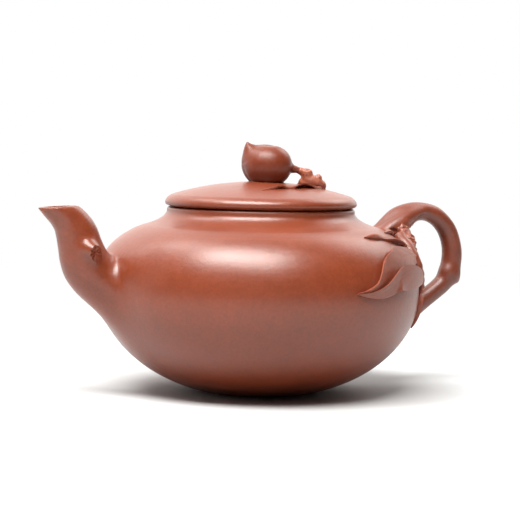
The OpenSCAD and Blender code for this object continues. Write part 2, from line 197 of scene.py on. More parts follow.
def tube(P, stations, per=5):
    """A round tube along stations of x, y, z, radius and, if given, its width along Y over its radius."""
    S = spline(stations, per)
    best = np.full(len(P), 1e9)
    for a, b in zip(S[:-1], S[1:]):
        ab = b[:3] - a[:3]
        t = np.clip((P - a[:3]) @ ab / max(ab @ ab, 1e-9), 0, 1)
        off = P - a[:3] - t[:, None] * ab
        if S.shape[1] > 4:
            off[:, 1] /= a[4] + (b[4] - a[4]) * t
        best = np.minimum(best, np.sqrt((off * off).sum(1)) - (a[3] + (b[3] - a[3]) * t))
    return best


def ball(P, c, r):
    return np.linalg.norm(P - np.asarray(c, float), axis=1) - r


def egg(P, c, size):
    """About the distance to an ellipsoid with the given half lengths."""
    q = (P - np.asarray(c, float)) / size
    k0 = np.linalg.norm(q, axis=1)
    k1 = np.linalg.norm(q / size, axis=1)
    return k0 * (k0 - 1) / np.maximum(k1, 1e-6)


def slab(P, point, normal):
    """Distance above the plane through a point."""
    return (P - np.asarray(point, float)) @ unit(normal)


# How deep a smoothed-on piece's thin edge dips; where that starts and ends and the cut, in blend widths.
EDGE_DIP, EDGE_FADE, EDGE_CUT = 0.09, (0.80, 0.93), 0.97


def on_top(blend, base, own, k, proud, bury):
    """The part of a blend that belongs to the upper piece: it stands proud of the lower one by that much,
    reaches as deep as bury into it, and its thin edge dips under it."""
    dip = EDGE_DIP * ramp(own / k, *EDGE_FADE) - proud
    return np.maximum(np.maximum(blend + dip, -(base + bury)), own - EDGE_CUT * k)


def smoothed_on(base, own, k, proud, bury):
    """Two fields: a piece blended k wide into what it sits on, and the piece cut out of that blend."""
    def blend(P):
        return smin(base(P), own(P), k)

    def piece(P):
        return on_top(blend(P), base(P), own(P), k, proud, bury)

    return blend, piece


# ---- meshes ----------------------------------------------------------------------------------

def add_mesh(name, verts, faces, material, normals=None, sharp=None):
    """A smooth-shaded object from vertices in millimetres."""
    mesh = bpy.data.meshes.new(name)
    mesh.from_pydata((np.asarray(verts) * 0.001).tolist(), [], [list(map(int, f)) for f in faces])
    mesh.update()
    mesh.polygons.foreach_set("use_smooth", [True] * len(mesh.polygons))
    if normals is not None:
        mesh.normals_split_custom_set_from_vertices(np.asarray(normals).tolist())
    if sharp is not None:
        mesh.set_sharp_from_angle(angle=math.radians(sharp))
    mesh.materials.append(material)
    obj = bpy.data.objects.new(name, mesh)
    bpy.context.collection.objects.link(obj)
    return obj


def slopes(f, V, e=0.03):
    """Gradient of a field at each point."""
    G = np.empty_like(V)
    for i in range(3):
        d = np.zeros(3)
        d[i] = e
        G[:, i] = (f(V + d) - f(V - d)) / (2 * e)
    return G


def net(f, low, high, h):
    """Vertices and quads of the surface f = 0 inside a box, one vertex to a cell of size h."""
    h = h * FINE
    low = np.asarray(low, float)
    coarse = 4
    nc = np.ceil((np.asarray(high, float) - low) / (h * coarse)).astype(int) + 1
    n = (nc - 1) * coarse + 1
    grids = np.meshgrid(*[low[i] + h * coarse * np.arange(nc[i]) for i in range(3)], indexing="ij")
    rough = f(np.stack([g.ravel() for g in grids], -1)).reshape(nc)
    near = [np.clip((np.arange(n[i]) + coarse // 2) // coarse, 0, nc[i] - 1) for i in range(3)]
    F = rough[np.ix_(*near)]
    live = np.argwhere(np.abs(F) < 6.2 * h)
    F[tuple(live.T)] = f(low + h * live)
    S = F < 0
    count = sum(S[a:n[0] - 1 + a, b:n[1] - 1 + b, c:n[2] - 1 + c].astype(np.int8)
                for a in (0, 1) for b in (0, 1) for c in (0, 1))
    cells = np.argwhere((count > 0) & (count < 8))
    ids = np.full(n - 1, -1)
    ids[tuple(cells.T)] = np.arange(len(cells))
    total, hits = np.zeros((len(cells), 3)), np.zeros(len(cells))
    corners = [np.array([a, b, c]) for a in (0, 1) for b in (0, 1) for c in (0, 1)]
    for p in corners:
        for axis in range(3):
            if p[axis]:
                continue
            q = p.copy()
            q[axis] = 1
            fa, fb = F[tuple((cells + p).T)], F[tuple((cells + q).T)]
            cross = (fa < 0) != (fb < 0)
            t = np.where(cross, fa / np.where(cross, fa - fb, 1), 0)
            point = np.repeat(p[None, :].astype(float), len(cells), 0)
            point[:, axis] = t
            total += np.where(cross[:, None], point, 0)
            hits += cross
    V = low + h * (cells + total / hits[:, None])
    for _ in range(3):
        G = slopes(f, V)
        move = f(V)[:, None] * G / np.maximum((G * G).sum(1), 0.2)[:, None]
        far = np.linalg.norm(move, axis=1)
        V = V - move * np.minimum(1, 0.5 * h / np.maximum(far, 1e-9))[:, None]
    quads = []
    for axis in range(3):
        b, c = (axis + 1) % 3, (axis + 2) % 3
        first = [slice(None)] * 3
        second = [slice(None)] * 3
        first[axis], second[axis] = slice(0, -1), slice(1, None)
        change = np.argwhere(S[tuple(first)] != S[tuple(second)])
        change = change[(change[:, b] > 0) & (change[:, b] < n[b] - 1)
                        & (change[:, c] > 0) & (change[:, c] < n[c] - 1)]
        ring = []
        for db, dc in ((1, 1), (0, 1), (0, 0), (1, 0)):
            cell = change.copy()
            cell[:, b] -= db
            cell[:, c] -= dc
            ring.append(ids[tuple(cell.T)])
        quad = np.stack(ring, -1)
        inner = S[tuple(change.T)]
        quad[~inner] = quad[~inner][:, ::-1]
        quads.append(quad)
    return V, np.vstack(quads)


def shaped(name, f, low, high, h, material, shade=None, merge=None):
    """A closed piece whose surface is f = 0, shaded by the field shade where it lies on that surface.

    merge is a field and a reach: closer than that to the field the piece takes on the pot's colour."""
    V, Q = net(f, low, high, h)
    N = slopes(f, V)
    if shade is not None:
        on = np.abs(shade(V)) < 0.08
        N[on] = slopes(shade, V[on])
    N /= np.maximum(np.linalg.norm(N, axis=1), 1e-9)[:, None]
    obj = add_mesh(name, V, Q, material, normals=N)
    if merge is not None:
        near = obj.data.attributes.new("merge", "FLOAT", "POINT")
        field, reach = merge
        near.data.foreach_set("value", (1 - ramp(field(V), 0.1 * reach, reach)).astype(np.float32))
    return obj


def turned(name, outline, material, sharp=40, phase=0.0):
    """A solid turned from a closed outline of (radius, height) points; points on the axis become one."""
    P = np.asarray(outline, float)
    a = 2 * math.pi * np.arange(SEGMENTS) / SEGMENTS + phase
    verts, first = [], []
    for r, z in P:
        first.append((len(verts), r < 1e-6))
        if r < 1e-6:
            verts.append((0.0, 0.0, z))
        else:
            verts.extend(zip(r * np.cos(a), r * np.sin(a), np.full(SEGMENTS, z)))
    faces = []
    for i in range(len(P)):
        (p, ps), (q, qs) = first[i], first[(i + 1) % len(P)]
        if ps and qs:
            continue
        for k in range(SEGMENTS):
            n = (k + 1) % SEGMENTS
            if ps:
                faces.append((p, q + n, q + k))
            elif qs:
                faces.append((p + k, p + n, q))
            else:
                faces.append((p + k, p + n, q + n, q + k))
    obj = add_mesh(name, verts, faces, material, sharp=sharp)
    bm = bmesh.new()
    bm.from_mesh(obj.data)
    bmesh.ops.recalc_face_normals(bm, faces=bm.faces)
    bm.to_mesh(obj.data)
    bm.free()
    obj.data.set_sharp_from_angle(angle=math.radians(sharp))
    return obj


def drill(obj, start, end, radius):
    """Cuts a round hole through a piece."""
    start, end = Vector(start) * 0.001, Vector(end) * 0.001
    bm = bmesh.new()
    bmesh.ops.create_cone(bm, cap_ends=True, segments=48, radius1=radius * 0.001, radius2=radius * 0.001,
                          depth=(end - start).length)
    turn = (end - start).to_track_quat("Z", "Y").to_matrix().to_4x4()
    bm.transform(Matrix.Translation((start + end) / 2) @ turn)
    mesh = bpy.data.meshes.new("cutter")
    bm.to_mesh(mesh)
    bm.free()
    cutter = bpy.data.objects.new("cutter", mesh)
    bpy.context.collection.objects.link(cutter)
    m = obj.modifiers.new("hole", "BOOLEAN")
    m.operation, m.solver, m.object = "DIFFERENCE", "EXACT", cutter
    done = bpy.data.meshes.new_from_object(obj.evaluated_get(bpy.context.evaluated_depsgraph_get()))
    obj.modifiers.clear()
    material = obj.data.materials[0]
    obj.data = done
    done.materials.clear()
    done.materials.append(material)
    done.set_sharp_from_angle(angle=math.radians(40))
    bpy.data.objects.remove(cutter)


def spread(line, count):
    """The same line with its points spread evenly along it."""
    far = np.concatenate([[0], np.cumsum(np.linalg.norm(np.diff(line[:, :2], axis=0), axis=1))])
    at = np.linspace(0, far[-1], count)
    return np.stack([np.interp(at, far, line[:, i]) for i in range(line.shape[1])], -1)


def leaf(name, right, middle, left, place, material, thick, lift, veins=7, depth=0.16, fine=7, across=25):
    """A leaf blade laid on a surface. Its three lines run from stalk to tip, a height last in each row."""
    count = fine * (max(len(right), len(middle), len(left)) - 1) + 1
    R, M, L = (spread(spline(line, fine), count) for line in (right, middle, left))
    f = np.linspace(0, 1, across)
    u = np.linspace(0, 1, len(R))
    crown = M - (R + L) / 2
    F = f[None, :, None]
    G = R[:, None] * (1 - F) + L[:, None] * F + crown[:, None] * (4 * F * (1 - F))
    side = np.abs(2 * f - 1)[None, :]
    along = u[:, None]
    groove = np.exp(-(side / 0.07) ** 2) * 1.3
    phase = (along * veins - side * 1.15) % 1.0
    vein = np.exp(-((phase - 0.5) / 0.10) ** 2)
    groove = groove + vein * ramp(side, 0.04, 0.2) * (1 - ramp(side, 0.72, 0.98))
    fade = ramp(along, 0.0, 0.12) * (1 - ramp(along, 0.86, 1.0))
    top = G.copy()
    top[..., 2] -= depth * groove * fade
    edge = ramp(side, 0.86, 1.0)
    body = np.minimum(thick * (1 - 0.45 * edge), 2)
    soft = ramp(G[..., 2], lift - 0.25, lift + 0.25)
    low = (top[..., 2] - body) * soft + np.minimum(-0.3, top[..., 2] - body) * (1 - soft)
    under = G.copy()
    under[..., 2] = low
    n, m = top.shape[:2]
    V = np.vstack([place(top[..., 0].ravel(), top[..., 1].ravel(), top[..., 2].ravel()),
                   place(under[..., 0].ravel(), under[..., 1].ravel(), under[..., 2].ravel())])
    faces = []
    o = n * m
    for i in range(n - 1):
        for j in range(m - 1):
            a, b, c, d = i * m + j, i * m + j + 1, (i + 1) * m + j + 1, (i + 1) * m + j
            faces.append((a, b, c, d))
            faces.append((o + d, o + c, o + b, o + a))
        for j, flip in ((0, False), (m - 1, True)):
            a, b = i * m + j, (i + 1) * m + j
            q = (a, b, o + b, o + a)
            faces.append(q[::-1] if flip else q)
    for i, flip in ((0, True), (n - 1, False)):
        for j in range(m - 1):
            a, b = i * m + j, i * m + j + 1
            q = (a, b, o + b, o + a)
            faces.append(q[::-1] if flip else q)
    obj = add_mesh(name, V, faces, material)
    bm = bmesh.new()
    bm.from_mesh(obj.data)
    bmesh.ops.remove_doubles(bm, verts=bm.verts, dist=2e-6)
    bmesh.ops.recalc_face_normals(bm, faces=bm.faces)
    rim = [e for e in bm.edges if len(e.link_faces) == 2 and e.calc_face_angle(0) > math.radians(55)]
    bmesh.ops.bevel(bm, geom=rim, offset=0.00016, segments=3, profile=0.5, affect="EDGES",
                    clamp_overlap=True)
    bm.to_mesh(obj.data)
    bm.free()
    obj.data.polygons.foreach_set("use_smooth", [True] * len(obj.data.polygons))
    obj.data.set_sharp_from_angle(angle=math.radians(60))
    return obj


# ---- clay ------------------------------------------------------------------------------------

POT_TONE, POT_DARK = (0.205, 0.0370, 0.0118), 0.82


def clay(name, tone=POT_TONE, dark=POT_DARK, rough=0.34, grain=0.05, spots=0.5, streaks=0.0, edge=1.12,
         shine=0.65):
    """Fired clay, rubbed but unglazed: fine grain, a few pale grains of sand, slow changes of colour, a
    painted highlight on sharp edges and painted shade in hollows.
    """
    mat = bpy.data.materials.new(name)
    mat.use_nodes = True
    nodes, links = mat.node_tree.nodes, mat.node_tree.links
    nodes.clear()

    def add(kind, at, **values):
        node = nodes.new(kind)
        node.location = at
        for key, value in values.items():
            if key in node.inputs:
                node.inputs[key].default_value = value
            else:
                setattr(node, key, value)
        return node

    out = add("ShaderNodeOutputMaterial", (900, 0))
    shader = add("ShaderNodeBsdfPrincipled", (620, 0))
    shader.inputs["IOR"].default_value = 1.5
    shader.inputs["Specular IOR Level"].default_value = shine
    shader.inputs["Coat Weight"].default_value = 0.10
    shader.inputs["Coat Roughness"].default_value = 0.30
    links.new(shader.outputs[0], out.inputs[0])
    place = add("ShaderNodeTexCoord", (-1200, 0))

    def noise(scale, detail, y, roughness=0.55):
        node = add("ShaderNodeTexNoise", (-950, y), Scale=scale, Detail=detail, Roughness=roughness)
        links.new(place.outputs["Object"], node.inputs["Vector"])
        return node

    cloud = noise(34.0, 4.0, 400)
    fine = noise(900.0, 6.0, 150, 0.65)
    mottle = noise(210.0, 5.0, -100, 0.6)

    def shades(colour, low, y):
        node = add("ShaderNodeValToRGB", (-650, y))
        node.color_ramp.elements[0].position = 0.30
        node.color_ramp.elements[0].color = (*[c * low for c in colour], 1)
        node.color_ramp.elements[1].position = 0.72
        node.color_ramp.elements[1].color = (colour[0] * 1.10, colour[1] * 1.13, colour[2] * 1.16, 1)
        return node

    tones, home = shades(tone, dark, 400), shades(POT_TONE, POT_DARK, 640)
    mix = add("ShaderNodeMix", (-820, 320))
    mix.data_type = "FLOAT"
    mix.inputs[0].default_value = 0.42
    links.new(cloud.outputs["Fac"], mix.inputs[2])
    links.new(mottle.outputs["Fac"], mix.inputs[3])
    links.new(mix.outputs[0], tones.inputs["Fac"])
    links.new(mix.outputs[0], home.inputs["Fac"])
    merge = add("ShaderNodeAttribute", (-650, 860), attribute_name="merge")
    clays = add("ShaderNodeMix", (-500, 480))
    clays.data_type = "RGBA"
    links.new(merge.outputs["Fac"], clays.inputs[0])
    links.new(tones.outputs["Color"], clays.inputs[6])
    links.new(home.outputs["Color"], clays.inputs[7])
    # fine grain lightens and darkens the colour a little
    speckle = add("ShaderNodeMix", (-380, 300))
    speckle.data_type, speckle.blend_type = "RGBA", "OVERLAY"
    speckle.inputs[0].default_value = 0.34
    links.new(clays.outputs[2], speckle.inputs[6])
    links.new(fine.outputs["Fac"], speckle.inputs[7])
    # sparse pale grains
    cells = add("ShaderNodeTexVoronoi", (-950, -350), Scale=210.0)
    links.new(place.outputs["Object"], cells.inputs["Vector"])
    dot = add("ShaderNodeMapRange", (-650, -350))
    dot.inputs["From Min"].default_value = 0.11
    dot.inputs["From Max"].default_value = 0.05
    links.new(cells.outputs["Distance"], dot.inputs["Value"])
    pick = add("ShaderNodeMath", (-650, -560), operation="GREATER_THAN")
    pick.inputs[1].default_value = 1.0 - 0.028 * spots
    links.new(cells.outputs["Color"], pick.inputs[0])
    few = add("ShaderNodeMath", (-450, -420), operation="MULTIPLY")
    links.new(dot.outputs["Result"], few.inputs[0])
    links.new(pick.outputs[0], few.inputs[1])
    sand = add("ShaderNodeMix", (-120, 250))
    sand.data_type = "RGBA"
    sand.inputs[7].default_value = (0.78, 0.50, 0.34, 1)
    links.new(few.outputs[0], sand.inputs[0])
    links.new(speckle.outputs[2], sand.inputs[6])
    # painted light: sharp convex edges are painted lighter as a highlight, as strong as edge says, and
    # hollows are painted darker as shade
    shape = add("ShaderNodeNewGeometry", (-420, 620))
    edge_glint_hollow_shade = add("ShaderNodeValToRGB", (-230, 620))
    edge_glint_hollow_shade.color_ramp.elements[0].position = 0.44
    edge_glint_hollow_shade.color_ramp.elements[0].color = (0.55, 0.55, 0.55, 1)
    edge_glint_hollow_shade.color_ramp.elements[1].position = 0.58
    edge_glint_hollow_shade.color_ramp.elements[1].color = (edge, edge * 1.1, edge * 1.2, 1)
    middle = edge_glint_hollow_shade.color_ramp.elements.new(0.50)
    middle.color = (1, 1, 1, 1)
    links.new(shape.outputs["Pointiness"], edge_glint_hollow_shade.inputs["Fac"])
    lit_edges_shaded_hollows = add("ShaderNodeMix", (90, 350))
    lit_edges_shaded_hollows.data_type, lit_edges_shaded_hollows.blend_type = "RGBA", "MULTIPLY"
    lit_edges_shaded_hollows.inputs[0].default_value = 0.7
    links.new(sand.outputs[2], lit_edges_shaded_hollows.inputs[6])
    links.new(edge_glint_hollow_shade.outputs["Color"], lit_edges_shaded_hollows.inputs[7])
    links.new(lit_edges_shaded_hollows.outputs[2], shader.inputs["Base Color"])
    gloss = add("ShaderNodeMapRange", (90, 0))
    gloss.inputs["To Min"].default_value = rough - 0.05
    gloss.inputs["To Max"].default_value = rough + 0.09
    links.new(mottle.outputs["Fac"], gloss.inputs["Value"])
    links.new(gloss.outputs["Result"], shader.inputs["Roughness"])
    bump = add("ShaderNodeBump", (330, -260), Strength=0.5, Distance=0.00005 * grain / 0.05)
    links.new(fine.outputs["Fac"], bump.inputs["Height"])
    soft = add("ShaderNodeBump", (120, -260), Strength=0.35, Distance=0.00010)
    links.new(mottle.outputs["Fac"], soft.inputs["Height"])
    links.new(soft.outputs["Normal"], bump.inputs["Normal"])
    if streaks:
        # faint level lines from the rib that smoothed the turning pot
        squeeze = add("ShaderNodeMapping", (-1150, -700))
        squeeze.inputs["Scale"].default_value = (6, 6, 260)
        links.new(place.outputs["Object"], squeeze.inputs["Vector"])
        lines = add("ShaderNodeTexNoise", (-950, -700), Scale=3.0, Detail=3.0)
        links.new(squeeze.outputs["Vector"], lines.inputs["Vector"])
        rib = add("ShaderNodeBump", (-80, -420), Strength=0.3, Distance=0.00006 * streaks)
        links.new(lines.outputs["Fac"], rib.inputs["Height"])
        links.new(rib.outputs["Normal"], soft.inputs["Normal"])
    links.new(bump.outputs["Normal"], shader.inputs["Normal"])
    return mat


BODY_CLAY = clay("red_clay", grain=0.13, streaks=1.0)
# a darker copy of the clay: painted shade on the handle, its stub, the stem and the twig
BRANCH_CLAY = clay("branch_clay", tone=(0.182, 0.0325, 0.0110), dark=0.68, rough=0.43)
# edge=1.7 gives the leaves a strong painted highlight along their edges; their tone, a little lighter than
# the pot's, is painted light on the raised leaves
LEAF_CLAY = clay("leaf_clay", tone=(0.235, 0.050, 0.021), rough=0.44, spots=0.3, edge=1.7)
# a lighter copy of the clay: painted light on the lid's twig and stubs
STUB_CLAY = clay("stub_clay", tone=(0.31, 0.080, 0.038), dark=0.78, rough=0.46, spots=0.2)
# edge=1.4 gives the fork and burls a stronger painted highlight on their edges
BURL_CLAY = clay("burl_clay", tone=(0.235, 0.046, 0.0175), dark=0.52, rough=0.42, edge=1.4)
# a darker copy of the clay: painted shade on the peach knob
PEACH_CLAY = clay("peach_clay", tone=(0.178, 0.030, 0.0090), dark=0.70, rough=0.40, spots=0.2, shine=0.42)


def keep(piece, body, slot, *nodes):
    """Says which body a piece rides on and hides the CAD nodes that it stands for; its material slot is not
    used.
    """
    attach(piece, body)
    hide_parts(*nodes)
    return piece


# ---- the pot's turned pieces -----------------------------------------------------------------

def arc(cx, cz, r, a0, a1, n=6):
    """n outline points round a centre, between two angles in degrees."""
    a = np.radians(np.linspace(a0, a1, n))
    return [(cx + r * math.cos(t), cz + r * math.sin(t)) for t in a]


inner_lats = [lat for lat in np.linspace(WALL_TOP_LAT, FOOT_LAT, 90) if belly(lat, -WALL)[1] > 4.6]
outer = np.stack(belly(WALL_LATS), -1)
inner = np.stack(belly(np.array(inner_lats), -WALL), -1)
foot_ring = [[BASE_R, 0.35], [BASE_R + 0.2, 0.1], [BASE_R + 0.6, 0.0], [FOOT_R - 0.9, 0.0],
             [FOOT_R - 0.3, 0.08]]
well = [[28.6, 4.25], [25, 4.05], [21, 4.0], [BASE_R, 4.0]]
wall_line = np.vstack([foot_ring, outer, inner, well])
belly_wall = turned("belly_wall_skin", wall_line, BODY_CLAY)
drill(belly_wall, (-62, 0, SPOUT_HOLE_Z), (-50, 0, SPOUT_HOLE_Z), SPOUT_HOLE_R)
keep(belly_wall, "pot", "red_clay", "belly_wall")

shoulder_top = NECK[NECK[:, 1] < NECK_BASE_Z]
cut_r = float(np.interp(NECK_BASE_Z, NECK[:, 1], NECK[:, 0]))
under = np.stack(belly(SHOULDER_LATS[::-1], -WALL), -1)
shoulder_line = np.vstack([np.stack(belly(SHOULDER_LATS), -1), shoulder_top[1:],
                           [[cut_r, NECK_BASE_Z], [MOUTH_R, NECK_BASE_Z], [MOUTH_R, 60]],
                           bezier((30.6, 59.6), (31, 58.7), (32.4, 58.4), (35, 57.9), 6), under])
keep(turned("shoulder_skin", shoulder_line, BODY_CLAY), "pot", "red_clay", "shoulder_disc")

neck_line = np.vstack([[[MOUTH_R, NECK_BASE_Z], [cut_r, NECK_BASE_Z]],
                       NECK[(NECK[:, 1] > NECK_BASE_Z) & (NECK[:, 1] < RIM_Z - 1e-6)],
                       [[NECK_R, RIM_Z], [MOUTH_R, RIM_Z]]])
keep(turned("neck_skin", neck_line, BODY_CLAY), "pot", "red_clay", "neck_ring")

mouth_line = ([(MOUTH_R, RIM_Z), (NECK_R, RIM_Z)] + arc(NECK_R - 0.9, MOUTH_Z - 0.9, 0.9, 0, 90, 9)
              + arc(MOUTH_R + 0.35, MOUTH_Z - 0.35, 0.35, 90, 180))
keep(turned("mouth_rim", mouth_line, BODY_CLAY), "pot", "red_clay", "mouth_ring")

base_line = [(0, 1.5), (6, 1.47), (11, 1.36), (14.5, 1.2), (16.1, 1.05), (16.7, 0.8),
             (BASE_R, 0.5), (BASE_R, 4.0), (9, 4.0), (0, 4.0)]
keep(turned("base_skin", base_line, BODY_CLAY), "pot", "red_clay", "base_disc")

# the strainer's CAD shape is right: a thin dome with round holes
for slot in bpy.data.objects["ball_strainer"].material_slots:
    slot.material = BODY_CLAY


# ---- spout -----------------------------------------------------------------------------------

# Middle line of the spout: x, y, z, radius in its own plane, half width over radius.
SPOUT = [
    [-44.0, 0, 31.0, 9.6, 1.12], [-50.0, 0, 33.8, 9.6, 1.10], [-55.2, 0, 36.5, 9.3, 1.06],
    [-59.6, 0, 39.2, 8.8, 1.02], [-63.4, 0, 42.2, 8.5, 0.99], [-66.0, 0, 45.6, 8.5, 0.96],
    [-67.5, 0, 49.0, 8.2, 0.94], [-68.6, 0, 52.8, 7.7, 0.93], [-69.8, 0, 56.8, 7.25, 0.92],
    [-71.8, 0, 60.5, 6.3, 0.92], [-74.6, 0, 63.5, 5.4, 0.95], [-78.1, 0, 66.0, 4.45, 0.98],
    [-81.2, 0, 67.9, 3.35, 1.0],
]
MOUTH_CUT = ((-77.0, 0, 66.5), (-0.055, 0, 1.0))


# Clay smoothed into the angle between the spout's root and the shoulder.
GUSSET = [[-44.8, 18, 45.2, 6.2], [-48.5, 9, 45.2, 6.8], [-50.0, 0, 44.0, 7.2], [-48.5, -8, 43.5, 6.4]]


# A hollow worked in below the knot.
HOLLOW = [[-63.6, -7.7, 50.4, 0.5], [-63.9, -9.4, 48.4, 1.6], [-64.6, -9.9, 46.2, 1.5],
          [-65.6, -9.4, 44.0, 0.5]]


def spout_own(P):
    d = smin(tube(P, SPOUT), tube(P, GUSSET), 3.0) + 0.10 * waves(P, 26, 3)
    return smax(d, -tube(P, HOLLOW), 1.6)


def root_k(P):
    """Blend width at the spout's root: wide low down, narrower halfway up and wider again above."""
    return 13.0 - 4.5 * ramp(P[:, 2], 22, 36) + 2.5 * ramp(P[:, 2], 32, 46)


def spout_blend(P):
    return smin(pot(P), spout_own(P), root_k(P))


def spout_bore(P):
    # the wall is about 2.8 mm thick low down and 1.9 mm from SPOUT[7] on
    thin = [[x, y, z, r - (2.8 if i < 7 else 1.9), w] for i, (x, y, z, r, w) in enumerate(SPOUT[3:], 3)]
    root = tube(P, [[-50, 0, SPOUT_HOLE_Z, 6.2], [-57, 0, 37.4, 6.1], [-62, 0, 40.4, 6.3]])
    return smin(tube(P, thin), root, 2.0)


def spout_shape(P):
    return smax(smax(spout_blend(P), slab(P, *MOUTH_CUT), 1.1), -spout_bore(P), 0.9)


def spout_piece(P):
    return on_top(spout_shape(P), pot(P), spout_own(P), root_k(P), 0.012, 0.8)


KNOT = [[-68.6, -4.6, 52.8, 2.6], [-67.8, -6.6, 52.3, 2.7], [-66.6, -8.2, 51.5, 2.5],
        [-65.0, -9.6, 50.4, 2.3]]
KNOT_FACE = ((-66.1, -8.7, 51.1), (0.46, -0.84, -0.26))


def knot_own(P):
    d = tube(P, KNOT)
    n = unit(KNOT_FACE[1])
    a = unit(np.cross(n, [0, 0, 1]))
    b = np.cross(n, a)
    q = P - np.array(KNOT_FACE[0])
    u, v = q @ a, q @ b
    far, turn = np.hypot(u, v), np.arctan2(v, u)
    # a ragged break: the face is dished and splinters run out from its middle
    splint = np.cos(7 * turn + 0.8 * np.sin(2 * turn)) * ramp(far, 0.2, 1.2)
    d = smax(d, q @ n - 0.16 * splint + 0.35 * (1 - ramp(far, 0.0, 1.6)), 0.25)
    star = np.abs(np.sin(2.5 * turn + 0.4)) * far
    crack = np.maximum(star - 0.2, far - 2.4)
    return smax(d, -np.maximum(crack, np.abs(q @ n + 0.2) - 0.75), 0.2)


knot_blend, knot_piece = smoothed_on(spout_blend, knot_own, 4.0, 0.02, 0.45)

keep(shaped("spout_skin", spout_piece, (-86, -25, 13), (-29, 36, 69), 0.42, BODY_CLAY, shade=spout_shape),
     "pot", "red_clay", "spout")
keep(shaped("spout_knot_skin", knot_piece, (-76, -14, 43), (-58, 0, 61), 0.22, BODY_CLAY, shade=knot_blend),
     "pot", "red_clay", "spout_knot")


# ---- handle ----------------------------------------------------------------------------------

HANDLE = [
    [44.6, 0, 51.6, 4.6], [48.6, 0, 55.0, 4.4], [52.8, -0.3, 58.8, 4.4], [57.4, -0.3, 62.1, 4.6],
    [62.4, 0, 64.1, 3.85], [67.4, 0, 64.35, 3.4], [72.2, 0, 62.8, 3.4], [76.0, 0, 59.7, 3.4],
    [78.5, 0, 55.7, 3.45], [79.85, 0, 51.0, 3.6], [79.95, 0, 46.2, 3.7], [79.0, 0, 41.6, 3.8],
    [76.4, 0, 37.7, 3.5], [72.1, 0, 34.3, 3.35], [67.4, 0, 31.1, 3.55], [62.4, 0, 28.3, 4.1],
    [57.0, 0, 25.6, 5.3],
]


# Deep pits in the crotch between the branch, its fork and the shoulder.
PITS = [
    [[49.2, -7.8, 58.5, 0.5], [50.6, -8.0, 57.9, 1.0], [51.9, -8.5, 57.2, 1.0], [52.9, -9.2, 56.6, 0.5]],
    [[49.9, -5.8, 58.3, 0.6], [51.2, -5.8, 57.7, 1.1], [52.4, -6.4, 57.0, 0.9]],
    [[53.4, -9.2, 59.4, 0.5], [54.6, -8.8, 58.6, 0.9], [55.6, -8.8, 57.8, 0.7]],
    [[54.0, -7.0, 59.0, 0.6], [55.2, -6.6, 58.2, 0.8]],
]


def pitted(P, d):
    for pit in PITS:
        d = smax(d, -tube(P, pit, 3), 0.5)
    return d


def handle_own(P):
    d = tube(P, HANDLE, 9) + 0.14 * waves(P, 12, 5)
    flank = tube(P, [[46.0, -4.0, 54.4, 2.9], [51, -4.6, 58.2, 3.0], [56.2, -4.4, 61.4, 2.7],
                     [62, -3.0, 63.8, 2.2], [67, -1.2, 64.8, 1.4]])
    d = smin(d, flank, 2.6)
    tear = tube(P, [[70.0, -4.2, 62.6, 0.3], [66.6, -4.4, 63.2, 0.9], [63.4, -5.0, 62.0, 1.3],
                    [60.6, -5.8, 60.2, 1.4], [58.0, -6.6, 59.0, 0.9]])
    return pitted(P, smax(d, -tear + 0.12 * waves(P, 1.6, 17), 0.7))


handle_blend, handle_piece = smoothed_on(pot, handle_own, 4.0, 0.012, 0.8)

STUB = [[78.2, -0.8, 41.6, 3.0], [79.6, -0.8, 40.6, 2.9], [80.9, -0.6, 39.4, 2.0],
        [81.9, -0.4, 38.5, 1.1], [82.3, -0.4, 38.1, 0.5]]


def stub_own(P):
    return tube(P, STUB)


stub_blend, stub_piece = smoothed_on(handle_blend, stub_own, 3.0, 0.02, 0.45)

FORK = [
    [60.8, -0.6, 62.0, 2.0], [57.4, -3.2, 60.2, 2.2], [55.2, -6.0, 58.2, 2.3], [54.4, -9.4, 56.0, 2.3],
    [53.6, -13.0, 54.0, 2.3], [52.8, -16.6, 52.0, 2.2], [51.4, -20.4, 49.4, 1.9],
]


def fork_own(P):
    d = tube(P, FORK) + 0.30 * waves(P, 3.0, 9) + 0.16 * waves(P, 1.5, 13)
    return pitted(P, d)


fork_blend, fork_piece = smoothed_on(handle_blend, fork_own, 2.2, 0.02, 0.45)


def burl(P, c, r, axis):
    """A healed knot: a ball with a shallow dished eye."""
    d = ball(P, c, r) + 0.20 * waves(P, 1.8, 11)
    eye = np.asarray(c, float) + unit(axis) * (r + 0.55)
    return smax(d, -ball(P, eye, r * 0.52), 0.6)


def big_burl_own(P):
    return burl(P, (54.6, -8.4, 56.6), 2.1, (0.2, -0.8, 0.5))


def small_burl_own(P):
    return burl(P, (52.8, -15.4, 54.9), 2.1, (0.3, -0.7, 0.6))


big_burl_blend, big_burl_piece = smoothed_on(fork_blend, big_burl_own, 1.8, 0.028, 0.4)
small_burl_blend, small_burl_piece = smoothed_on(fork_blend, small_burl_own, 1.6, 0.028, 0.4)

